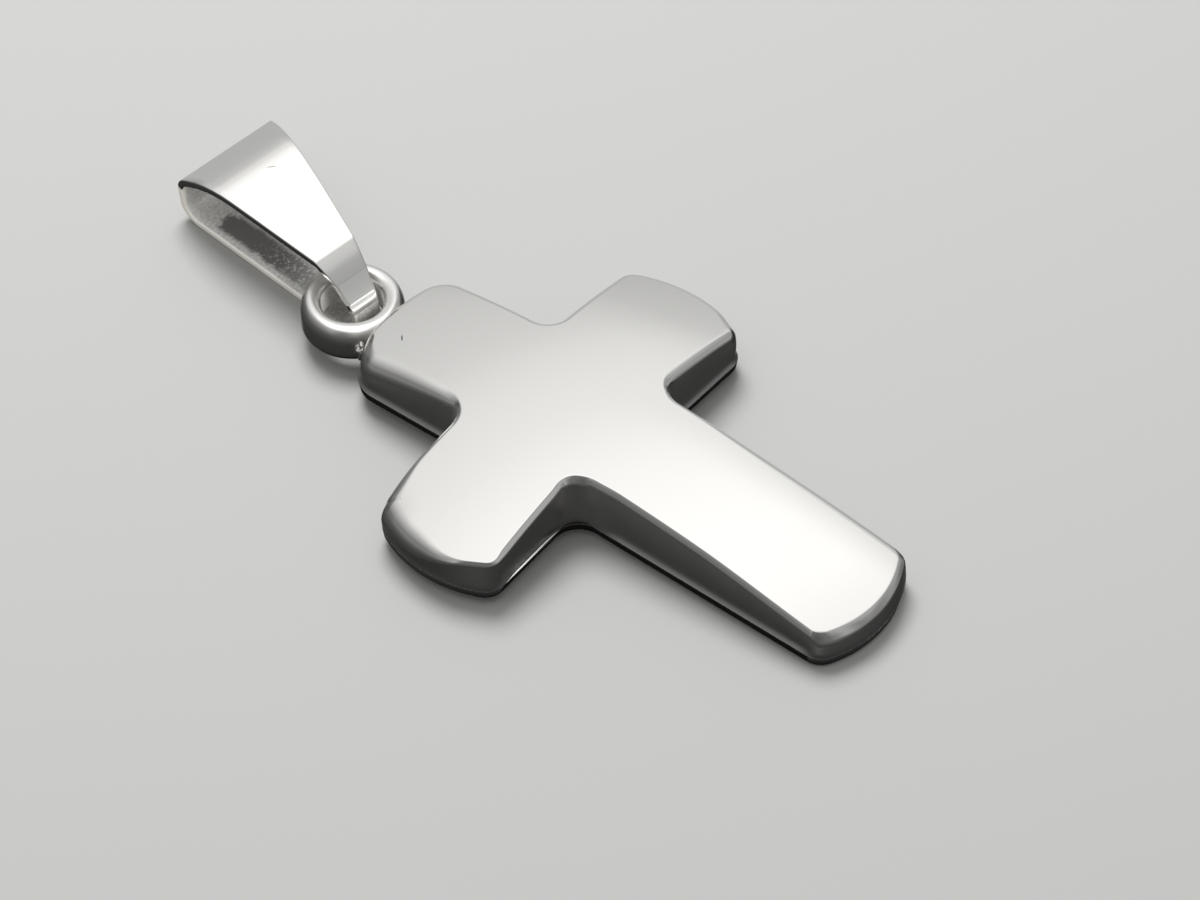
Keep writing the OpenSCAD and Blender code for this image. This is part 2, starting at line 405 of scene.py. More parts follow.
def near_corner(sizes, p):
    """1 at the inner corner between the foot and the left arm."""
    return 1 - smooth_mm(math.hypot(p.x + sizes.bar_w / 2, p.y + sizes.bar_w / 2), 1.2, 2.4)


def buffed_end(p):
    """1 on the ends of the left arm and the foot, where wall and plate were buffed as one."""
    return max(left_end(p), smooth_mm(-p.y, 14.2, 15.0))


def seamless(sizes, p):
    """1 where the wall runs straight into the back plate: at those ends and in that inner corner."""
    return max(buffed_end(p), near_corner(sizes, p))


def round_rim(p):
    """1 along the side of the left arm, where the rim of the back plate is rounded and shines."""
    return smooth_mm(-p.x, 3.8, 4.6) * (1 - smooth_mm(-p.x, 6.6, 7.4)) * smooth_mm(-p.y, 2.0, 2.5)


def edge_shape(sizes, p, n):
    """Width of the edge round the face and how soft it is: 0 crisp with a flat band, 1 evenly round. The wheel
    has buffed it away on the left of the top arm, under the right arm, on the upper left of the left arm and, less
    so, along the far side of the foot."""
    width, soft = sizes.edge * (1 - 0.2 * smooth(-n.x, 0.6, 0.95)), 0.0
    far = smooth(n.x, 0.6, 0.95) * smooth_mm(-p.y, 4, 9)
    tip = smooth_mm(-p.y, 14.6, 15.4)
    top = smooth_mm(p.y, 2.6, 4.4) * smooth_mm(-p.x, 1.0, 2.9)
    top_width = sizes.soft_edge * (0.85 + 0.3 * smooth_mm(p.y, 4, 7))
    right = smooth_mm(p.x, 2.9, 4.0) * smooth_mm(-p.y, 1.2, 2.4) * (1 - smooth_mm(-p.y, 3, 4))
    end = smooth_mm(-p.x, 5.6, 8.2) if p.y > 0 else left_end(p)
    end_width = sizes.sharp_edge + (sizes.soft_edge - sizes.sharp_edge) * smooth_mm(p.y, -1.9, 1.0)
    for part, there, how in (
        (far, 1.8 * sizes.edge, 0.6),
        (tip, 1.45 * sizes.edge, 0.0),
        (top, top_width, 1.0),
        (right, 2.0 * sizes.edge, 1.0),
        (end, end_width, 0.3 + 0.7 * smooth_mm(p.y, -1.9, 0.0)),
    ):
        width += (there - width) * part
        soft += (how - soft) * part
    return width, soft


def wall_shift(p, n):
    """How far the top of the wall stands out from its foot: in along the foot's left side, out under and at the end
    of the left arm and at the tip of the foot."""
    foot = smooth(-n.x, 0.5, 0.95) * smooth_mm(-p.y, 3.2, 5) * (1 - smooth_mm(-p.y, 8.5, 14))
    arm = smooth(-n.y, 0.5, 0.95) * smooth_mm(-p.x, 3.2, 4.2)
    tip = smooth(-n.y, 0.3, 0.9) * smooth_mm(-p.y, 14.6, 15.4)
    end = smooth(-n.x, 0.3, 0.9) * left_end(p) * smooth_mm(p.y, -2.4, -0.5)
    return (0.07 * arm + 0.06 * tip + 0.16 * end - 0.1 * foot) * MM


# Steps of the edge between the face and the wall: slope at the end of the step and its share of the way.
# The crisp edge has a nearly flat band, the soft one is evenly round.
BAND_STEPS = [
    (0.5, 0.04), (1.0, 0.05), (1.0, 0.28), (1.0, 0.27), (1.12, 0.05), (1.28, 0.06), (1.46, 0.06), (1.64, 0.06),
    (1.82, 0.06), (2.0, 0.07),
]


def edge_profile(slope, soft):
    """Points of the edge, each as its share of the run across the edge and its fall over that run."""
    x, z, last, made = 0.0, 0.0, 0.0, [(0.0, 0.0)]
    for i, (part, way) in enumerate(BAND_STEPS):
        crisp = slope * part if part <= 1 else slope + (part - 1) * (math.pi / 2 - slope)
        even = (i + 1) / len(BAND_STEPS) * math.pi / 2
        here = crisp + (even - crisp) * soft
        step = way + (1 / len(BAND_STEPS) - way) * soft
        mean = (last + here) / 2
        x += step * math.cos(mean)
        z += step * math.sin(mean)
        last = here
        made.append((x, z))
    return [(a / x, b / x) for a, b in made]


def band_slope(n):
    """Slope of the edge's band, steeper on the sides of the cross that face -X and -Y and between them."""
    near = smooth(-0.79 * n.x - 0.62 * n.y, -0.5, 0.4) + smooth(-n.x, 0.6, 0.95)
    between = smooth(-0.71 * n.x - 0.71 * n.y, 0.75, 0.97)
    return math.radians(28 + 16 * near + 12 * between)


def dome(sizes, p):
    """Height of the domed face above the back. Its length bends a little more towards the top arm, and the upper
    corner of the left arm is worn down."""
    side = sizes.side_face_r - math.sqrt(sizes.side_face_r ** 2 - p.x ** 2)
    blend = 2.5 * MM
    foot_bend, top_bend = 1 / sizes.foot_face_r, 1 / sizes.top_face_r
    extra = 0.0
    if p.y > blend:
        extra = p.y ** 2 / 2 + blend ** 2 / 6
    elif p.y > -blend:
        extra = (p.y + blend) ** 3 / (12 * blend)
    along = foot_bend * p.y ** 2 / 2 + (top_bend - foot_bend) * extra
    corner_x, corner_y = 0.3 * MM - sizes.arm_len, sizes.bar_w / 2 - 0.1 * MM
    worn = max(0.0, 1 - math.hypot(p.x - corner_x, p.y - corner_y) / sizes.worn_r)
    return sizes.crown_h - side - along - sizes.worn_h * worn ** 2


# Meshes

def patch(bm, columns, rows, low, high, left, right, height):
    """A grid of quads stretched between four lines of points: low and high across, left and right along."""
    made = bmesh.ops.create_grid(bm, x_segments=columns, y_segments=rows, size=0.5)["verts"]
    for vert in made:
        j, i = round((vert.co.x + 0.5) * columns), round((vert.co.y + 0.5) * rows)
        u, v = i / rows, j / columns
        p = (1 - v) * left[i] + v * right[i] + (1 - u) * low[j] + u * high[j]
        p -= (1 - u) * ((1 - v) * left[0] + v * right[0]) + u * ((1 - v) * left[-1] + v * right[-1])
        vert.co = (p.x, p.y, height(p))


def cross_sheet(bm, sizes, inner_r, inset, height):
    """The face of the cross as five patches that meet, its outline set in by inset(point, outward)."""
    points = {key: p - n * inset(p, n) for key, (p, n) in outline_of(sizes, inner_r).items()}
    throats = []
    for k in range(4):
        a, b = points[k, "left", 0], points[k, "right", 0]
        throats.append([a.lerp(b, j / COLUMNS) for j in range(COLUMNS + 1)])
        steps = SIDE_STEPS[k]
        left = [points[k, "left", i] for i in range(steps + 1)]
        right = [points[k, "right", i] for i in range(steps + 1)]
        tip = [points[k, "tip", j] for j in range(COLUMNS + 1)]
        patch(bm, COLUMNS, steps, throats[k], tip, left, right, height)
    patch(bm, COLUMNS, COLUMNS, throats[3], throats[1][::-1], throats[2][::-1], throats[0], height)
    bmesh.ops.remove_doubles(bm, verts=bm.verts, dist=0.001 * MM)
    return points


def sweep_edge(bm, points, rows):
    """Carries the sheet's outline on, row by row. Each row gives the place of a point by its address."""
    finder = kdtree.KDTree(len(points))
    keys = list(points)
    for index, key in enumerate(keys):
        finder.insert((*points[key], 0.0), index)
    finder.balance()
    edges = [e for e in bm.edges if e.is_boundary]
    address = {}
    for vert in {v for e in edges for v in e.verts}:
        _, index, gap = finder.find((vert.co.x, vert.co.y, 0.0))
        if gap > 0.002 * MM:
            raise RuntimeError("A point on the edge of the face has no place on the outline")
        address[vert] = keys[index]
    for row in rows:
        made = bmesh.ops.extrude_edge_only(bm, edges=edges)["geom"]
        fresh = {g for g in made if isinstance(g, bmesh.types.BMVert)}
        for vert in fresh:
            old = next(e.other_vert(vert) for e in vert.link_edges if e.other_vert(vert) not in fresh)
            address[vert] = address[old]
            vert.co = row(address[vert])
        edges = [g for g in made if isinstance(g, bmesh.types.BMEdge) and g.verts[0] in fresh and g.verts[1] in fresh]
    return edges


def close_flat(bm, edges):
    """Closes a flat rim with one face and keeps that rim sharp."""
    bmesh.ops.contextual_create(bm, geom=edges)
    for edge in edges:
        edge.smooth = False


def make_object(context, name, bm, materials):
    """Turns the finished mesh into an object at the origin."""
    mesh = bpy.data.meshes.new(name)
    bm.to_mesh(mesh)
    bm.free()
    for material in materials:
        mesh.materials.append(material)
    made = bpy.data.objects.new(name, mesh)
    context.scene.collection.objects.link(made)
    return made


def add_piece(context, name, bm, materials, stands_for=()):
    """Leans the finished mesh as the pendant lies and makes it a piece that rides on the frame."""
    bmesh.ops.rotate(bm, verts=bm.verts, cent=(0, 0, 0), matrix=Matrix.Rotation(LEAN, 3, "X"))
    piece = make_object(context, name, bm, materials)
    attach(piece, "root")
    if stands_for:
        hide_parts(*stands_for)


def finish_faces(bm):
    """Turns the faces outwards and shades all but the flat closing ones smooth."""
    bmesh.ops.recalc_face_normals(bm, faces=bm.faces)
    for face in bm.faces:
        face.smooth = len(face.verts) <= 4


# Pieces

class PENDANT_OT_cross_body(bpy.types.Operator):
    """Make the domed body of the cross with its rounded edge and upright walls"""
    bl_idname = "pendant.cross_body"
    bl_label = "Cross Body"

    def execute(self, context):
        settings = context.scene.pendant
        sizes = settings.cross
        # The sheet of the face ends short of its edge, and the flare inside the back plate
        short, rim_gap, flare_sink = 0.05 * MM, 0.003 * MM, 0.02 * MM
        bm = bmesh.new()
        points = cross_sheet(
            bm, sizes, sizes.inner_r, lambda p, n: edge_shape(sizes, p, n)[0] + short - wall_shift(p, n),
            lambda p: dome(sizes, p),
        )
        face_line = outline_of(sizes, sizes.inner_r)
        wall_foot = sizes.plate_t + sizes.flare_h
        shapes = {}
        for key, (p, n) in face_line.items():
            width, soft = edge_shape(sizes, p, n)
            shapes[key] = (width, edge_profile(band_slope(n), soft), wall_shift(p, n))
        rim_out = sizes.plate_proud - rim_gap

        # Rows down the edge, the wall and the flare, each for a step or a share of the way
        def edge_row(i):
            def place(key):
                p, n = face_line[key]
                width, profile, shift = shapes[key]
                run, fall = profile[i]
                q = p - n * (width * (1 - run) - shift)
                return (q.x, q.y, dome(sizes, q) - width * fall)
            return place

        def wall_row(f):
            swell = sizes.wall_swell * 4 * f * (1 - f)

            def place(key):
                p, n = face_line[key]
                width, profile, shift = shapes[key]
                top = dome(sizes, p + n * shift) - width * profile[-1][1]
                plain = seamless(sizes, p)
                out = swell + shift * (1 - f) ** (2 - plain) + rim_out * plain * f ** 2
                q = p + n * out
                return (q.x, q.y, top + (wall_foot - top) * f)
            return place

        def flare_row(f):
            def place(key):
                p, n = face_line[key]
                plain = seamless(sizes, p)
                q = p + n * rim_out * (plain + (1 - plain) * f ** 1.4) * (1 - round_rim(p))
                return (q.x, q.y, wall_foot - (sizes.flare_h + flare_sink) * f)
            return place

        rows = [edge_row(i) for i in range(len(BAND_STEPS) + 1)]
        rows += [wall_row(f) for f in (0.03, 0.12, 0.25, 0.4, 0.55, 0.7, 0.85, 1.0)]
        rows += [flare_row(f) for f in (0.2, 0.4, 0.6, 0.8, 1.0)]
        rim = sweep_edge(bm, points, rows)
        close_flat(bm, rim)
        finish_faces(bm)
        for face in bm.faces:
            # The wheel reached a soft edge further down than a crisp one
            spot = face.calc_center_median()
            steep = 0.4 - 0.25 * edge_shape(sizes, spot, face.normal)[1]
            face.material_index = int(face.normal.z < steep or spot.z < wall_foot)
        nick = (Vector((-1.0, 7.54, 2.53)) * MM, math.radians(40), 0.24 * MM, 0.045 * MM)
        metals = [
            buffed_silver("sterling_silver_cast_and_buffed", settings.finish, 0.6, nick=nick),
            buffed_silver("sterling_silver_cast_and_tumbled", settings.finish, 0.6, dull=0.25),
        ]
        add_piece(context, "cross_body", bm, metals, ["cross"])
        return {"FINISHED"}


class PENDANT_OT_back_plate(bpy.types.Operator):
    """Make the thin plate under the cross, a little proud of its walls"""
    bl_idname = "pendant.back_plate"
    bl_label = "Back Plate"

    def execute(self, context):
        settings = context.scene.pendant
        sizes = settings.cross
        # The plate's sheet begins inside the walls, and its upper edge is crisp where it isn't rounded
        hidden, crisp = 0.3 * MM, 0.002 * MM
        bm = bmesh.new()
        points = cross_sheet(bm, sizes, sizes.plate_inner_r, lambda p, n: hidden, lambda p: sizes.plate_t)
        line = outline_of(sizes, sizes.plate_inner_r)
        proud, lower = sizes.plate_proud, sizes.plate_foot

        def row(out, z, a=None):
            """A row at a distance out and a height, or at an angle on the upper edge that meets there."""
            def place(key):
                p, n = line[key]
                r = 0.0 if a is None else crisp + sizes.plate_edge * round_rim(p)
                q = p + n * (out - r + r * math.cos(a or 0.0))
                return (q.x, q.y, z - r + r * math.sin(a or 0.0))
            return place

        rows = [row(proud, sizes.plate_t, math.pi / 2 * (1 - i / 5)) for i in range(6)]
        for i in range(8):
            a = math.pi / 2 * i / 7
            out = proud - sizes.plate_taper - lower + lower * math.cos(a)
            rows.append(row(out, lower - lower * math.sin(a)))
        rim = sweep_edge(bm, points, rows)
        close_flat(bm, rim)
        finish_faces(bm)
        for face in bm.faces:
            # Painted shade lies in the seam on top and on the upright side
            side = abs(face.normal.z) < 0.25 and buffed_end(face.calc_center_median()) < 0.5
            face.material_index = int(face.normal.z > 0.97 or side)
        metal = buffed_silver(
            "sterling_silver_sheet_filed_and_buffed", settings.finish, 0.2, dull=0.05, hairline=0.06 * MM,
            depth=0.0008 * MM,
        )
        # The dark grey in the seam and on the plate's side is painted shade
        film = tarnished_silver("painted_shade_in_seam")
        add_piece(context, "back_plate", bm, [metal, film])
        return {"FINISHED"}


def ring_middle(cross, ring):
    return cross.top_len + ring.hole_r + ring.wall - ring.sink


class PENDANT_OT_ring(bpy.types.Operator):
    """Make the upright ring at the end of the top arm and the bead of solder beside it"""
    bl_idname = "pendant.ring"
    bl_label = "Ring"

    def execute(self, context):
        settings = context.scene.pendant
        sizes = settings.ring
        outer, r = sizes.hole_r + sizes.wall, sizes.edge_r
        top_rise = sizes.height - sizes.ridge_h
        # The section of the wire: its foot outside, the ridge, the long round over it, and the side of the hole
        quarter = math.pi / 2
        outline = [p for p, _ in arc((outer - r, r), r, -quarter, 0, 8, 1)]
        outline += [(outer, sizes.ridge_h - 0.12 * MM), (outer, sizes.ridge_h)]
        for i in range(11):
            a = math.radians(8 + 82 * i / 10)
            outline.append((outer - r + r * math.cos(a), sizes.ridge_h + top_rise * math.sin(a)))
        for start, z in ((quarter, sizes.height - r), (2 * quarter, r)):
            outline += [p for p, _ in arc((sizes.hole_r + r, z), r, start, start + quarter, 8, 1)]
        bm = bmesh.new()
        middle_y = ring_middle(settings.cross, sizes)
        verts = [bm.verts.new((x, middle_y, z)) for x, z in outline]
        edges = [bm.edges.new((a, b)) for a, b in zip(verts, verts[1:] + verts[:1])]
        bmesh.ops.spin(
            bm, geom=verts + edges, cent=(0, middle_y, 0), axis=(0, 0, 1), dvec=(0, 0, 0),
            angle=2 * math.pi, steps=144, use_merge=True, use_duplicate=False,
        )
        bmesh.ops.remove_doubles(bm, verts=bm.verts, dist=0.001 * MM)
        finish_faces(bm)
        for face in bm.faces:
            # The wall of the hole is left raw
            spot = face.calc_center_median()
            reach = math.hypot(spot.x, spot.y - middle_y)
            face.material_index = int(reach < sizes.hole_r + 0.02 * MM and spot.z < sizes.height - 0.3 * MM)
        metal = buffed_silver("sterling_silver_wire_brushed", settings.finish, 1.2, dull=0.17)
        inside = raw_silver("sterling_silver_wire_as_pickled", settings.finish)
        add_piece(context, "ring", bm, [metal, inside])

        # The bead of solder, an uneven drop between the ring and the end of the top arm
        bead = bmesh.new()
        bmesh.ops.create_icosphere(bead, subdivisions=4, radius=1.0)
        for vert in bead.verts:
            wobble = noise.noise(vert.co * 1.7) * 0.35 + noise.noise(vert.co * 4.1) * 0.12
            vert.co *= 1.0 + wobble
        spot, half_size = Vector((-1.5, 9.42, 0.7)) * MM, Vector((0.2, 0.24, 0.42)) * MM
        place = Matrix.LocRotScale(spot, Euler((0, 0, 0.7)), half_size)
        bmesh.ops.transform(bead, verts=bead.verts, matrix=place)
        finish_faces(bead)
        add_piece(context, "solder_bead", bead, [metal])
        return {"FINISHED"}


def turned_outline(corners, thickness, inset):
    """A closed outline of corners (along, up, inner bend radius), rounded and set in by a depth."""
    made = []
    count = len(corners)
    for i, (along, up, bend) in enumerate(corners):
        corner = Vector((along, up))
        before, after = Vector(corners[i - 1][:2]), Vector(corners[(i + 1) % count][:2])
        way_in, way_out = (corner - before).normalized(), (after - corner).normalized()
        side_in, side_out = Vector((way_in.y, -way_in.x)), Vector((way_out.y, -way_out.x))
        dot = max(-1.0, min(1.0, side_in.dot(side_out)))
        turn = math.acos(dot)
        radius = bend + thickness
        middle = corner - (side_in + side_out) * radius / (1 + dot)
        start = math.atan2(side_in.y, side_in.x)
        steps = max(3, round(abs(turn) / math.radians(6)))
        for k in range(steps + 1):
            a = start + turn * k / steps
            made.append(middle + (radius - inset) * Vector((math.cos(a), math.sin(a))))
    return made


def holds_point(outline, x, y):
    """Whether the closed outline goes round the point."""
    inside = False
    for a, b in zip(outline, outline[1:] + outline[:1]):
        if (a.y > y) != (b.y > y) and x < a.x + (b.x - a.x) * (y - a.y) / (b.y - a.y):
            inside = not inside
    return inside


class PENDANT_OT_bail(bpy.types.Operator):
    """Make the bail: one leaf-shaped strap folded into a loop that hangs in the ring"""
    bl_idname = "pendant.bail"
    bl_label = "Bail"

    def execute(self, context):
        settings = context.scene.pendant
        sizes, ring, cross = settings.bail, settings.ring, settings.cross
        t = sizes.strap_t
        widen = (sizes.fold_w - sizes.toe_w) / 2 / sizes.length
        toe_v = -ring.hole_r / 3
        offset = math.sqrt((ring.hole_r - sizes.toe_gap) ** 2 - toe_v ** 2) - sizes.toe_w / 2
        middle_y = ring_middle(cross, ring)

        def half(v):
            return sizes.toe_w / 2 + widen * (v - toe_v)

        def strap_y(v, u):
            return middle_y + v * math.cos(sizes.turn) + u * math.cos(sizes.roll) * math.sin(sizes.turn)

        fold_v = toe_v + sizes.length
        # The strap clears the ring by its gaps and rests on the floor under the near end of its fold
        drop = t + sizes.under_gap + (offset + half(ring.hole_r)) * math.sin(sizes.roll)
        rise = ring.height + sizes.over_gap + t
        rest_v = fold_v - sizes.fold_h / 2
        rest_u = offset - half(rest_v)
        rest_depth = (strap_y(rest_v, rest_u) + cross.foot_len + cross.plate_proud) * math.tan(LEAN)
        heel_up = -(rest_depth + rest_u * math.sin(sizes.roll)) / math.cos(sizes.roll)
        fold_bend = 0.42 * sizes.fold_h - t
        brow_v, crisp = fold_v - sizes.brow_run, 0.05 * MM
        # The loop seen from its side, from the toe under the ring to the fold and back over it to the toe
        corners = [
            (toe_v, -drop, 0.3 * t),
            (fold_v, heel_up, fold_bend),
            (fold_v, heel_up + sizes.fold_h, fold_bend),
            (brow_v, rise - sizes.arch_rise, sizes.brow_r),
            ((brow_v + sizes.crease_1) / 2, rise + sizes.arch_rise, 3 * sizes.length),
            (sizes.crease_1, rise, crisp),
            ((sizes.crease_1 + sizes.crease_2) / 2, rise - sizes.crease_drop * 0.42, 2.2 * MM),
            (sizes.crease_2, rise - sizes.crease_drop, crisp),
            (toe_v + sizes.lip_run, sizes.crease_3_h + sizes.lip_rise, crisp),
            (toe_v, sizes.crease_3_h, crisp),
        ]
        outer = turned_outline(corners, t, 0.0)
        count = len(outer)
        columns = 12
        ca, sa = math.cos(sizes.skew), math.sin(sizes.skew)
        bm = bmesh.new()
        made = bmesh.ops.create_grid(bm, x_segments=columns, y_segments=count, size=0.5)["verts"]
        for vert in made:
            i = round((vert.co.y + 0.5) * count) % count
            across = vert.co.x * 2
            a, z = outer[i]
            bow = sizes.belly * max(0.0, math.sin(math.pi * (a - toe_v) / sizes.length))
            ends = []
            for side in (-1, 1):
                reach = side * (sizes.toe_w / 2 + bow + widen * (a * ca - toe_v))
                ends.append((a * sa + reach) / (ca - side * widen * sa))
            b = ends[0] + (ends[1] - ends[0]) * (across + 1) / 2
            vert.co = (-a * sa + b * ca, a * ca + b * sa, z)
        bmesh.ops.remove_doubles(bm, verts=bm.verts, dist=0.002 * MM)
        bmesh.ops.recalc_face_normals(bm, faces=bm.faces)
        # The strap gets its thickness inwards, so its faces have to point out of the loop first
        centre = Vector((0.0, (toe_v + fold_v) / 2, 0.9 * MM))
        probe = max(bm.faces, key=lambda f: f.calc_center_median().z)
        if probe.normal.dot(probe.calc_center_median() - centre) < 0:
            bmesh.ops.reverse_faces(bm, faces=bm.faces)
        bmesh.ops.solidify(bm, geom=bm.faces[:] + bm.edges[:] + bm.verts[:], thickness=t)
        bmesh.ops.recalc_face_normals(bm, faces=bm.faces)
        middle_line = turned_outline(corners, t, 0.6 * t)

        def loop_place(p):
            return -p.x * sa + p.y * ca, p.z

        # Left raw: the inside, the cut edges of the lower strap and the upright face over the toe
        for face in bm.faces:
            spot = face.calc_center_median()
            a, z = loop_place(spot)
            cut_edge = abs(face.normal.x * ca + face.normal.y * sa) > 0.7
            raw = z < 0.55 * sizes.fold_h if cut_edge else holds_point(middle_line, a, z)
            over_toe = a < toe_v + 0.02 * MM and 0.3 * MM < z < sizes.crease_3_h
            lip = a < toe_v + 0.6 * MM and z > 0.4 * sizes.fold_h and face.normal.z > 0.1
            face.material_index = int((raw or over_toe) and not lip)
        rims = [e for e in bm.edges if len(e.link_faces) == 2 and e.calc_face_angle() > math.radians(60)]
        lower_inner = [
            e for e in rims
            if holds_point(middle_line, *loop_place(e.verts[0].co)) and e.verts[0].co.z < 0.55 * sizes.fold_h
        ]
        for edges, radius in ((lower_inner, sizes.inner_edge_r), (set(rims) - set(lower_inner), sizes.edge_r)):
            bmesh.ops.bevel(
                bm, geom=[e for e in edges if e.is_valid], offset=radius, offset_type="OFFSET", segments=3,
                profile=0.5, affect="EDGES", material=-1, clamp_overlap=True,
            )
        lie = Matrix.Rotation(sizes.turn, 4, "Z") @ Matrix.Rotation(-sizes.roll, 4, "Y")
        place = Matrix.Translation((0, middle_y, 0)) @ lie @ Matrix.Translation((offset, 0, 0))
        bmesh.ops.transform(bm, verts=bm.verts, matrix=place)
        finish_faces(bm)
        scratch = (Vector((2.74, 17.713, 3.425)) * MM, math.radians(-48.7), 0.26 * MM, 0.028 * MM)
        outside = buffed_silver("sterling_silver_strip_buffed", settings.finish, 1.3, dull=0.04, nick=scratch)
        # The painted shade's place is given along the strap in tens of millimetres and from its near edge in threes
        ahead = Vector((-math.sin(sizes.turn), math.cos(sizes.turn), 0))
        beside = Vector((math.cos(sizes.turn), math.sin(sizes.turn), 0)) + ahead * widen
        middle = Vector((0, middle_y, 0))
        near_edge = beside.dot(middle) + offset - sizes.toe_w / 2 + widen * toe_v
        film_l, film_w = 10 * MM, 3 * MM
        film_area = [(ahead / film_l, ahead.dot(middle) / film_l), (beside / film_w, near_edge / film_w)]
        # The raw silver inside the bail carries the painted shade patch and a painted highlight along its near edge
        inside = raw_silver("sterling_silver_strip_as_annealed", settings.finish, film_area)
        add_piece(context, "bail_strap", bm, [outside, inside], ["bail"])
        return {"FINISHED"}


BAIL, TOE, RIM = (1.7, 15.3, 2.9), (0.5, 10.7, 1.4), (-6.0, -2.9, 0.5)
# Round cards of even light: name, radius, radiance, what it faces and how far from there it stands, whether the
# metal mirrors it, and the pieces that it lights if not all. Lengths are in millimetres.
CARDS = (
    ("soft_lamp", 60, 14, (0, 0, 0), (60, 80, 200), False, ()),
    # The flat of the bail mirrors four, which fade towards its fold
    *[
        ("bail_card", 22 + 10 * i, 0.2, BAIL, (59.25 + i, 64.8 + 8.8 * i, 121.65 - 4.6 * i), True, ["bail_strap"])
        for i in range(4)
    ],
    ("lip_card", 30, 1.0, TOE, (18.6, -145.5, 30), True, ["bail_strap"]),
    ("ring_card", 120, 0.8, TOE, (-18, -15, 147), True, ["ring"]),
    ("hole_card", 30, 35, TOE, (-15, -112.5, 97.5), False, ["ring"]),
    ("toe_card", 30, 24, TOE, (-15, -112.5, 97.5), False, ["bail_strap"]),
    ("ring_side_card", 45, 0.8, TOE, (-67.5, -81, 106.5), True, ["ring"]),
    ("ring_side_card", 40, 0.2, TOE, (-93, -108, 37.5), True, ["ring"]),
    ("rim_card", 30, 1.5, RIM, (78.75, -109.5, 64.5), True, ["back_plate"]),
    ("loop_card", 25, 21, BAIL, (-141.7, -25.3, 57.1), False, ["bail_strap", "ring"]),
)


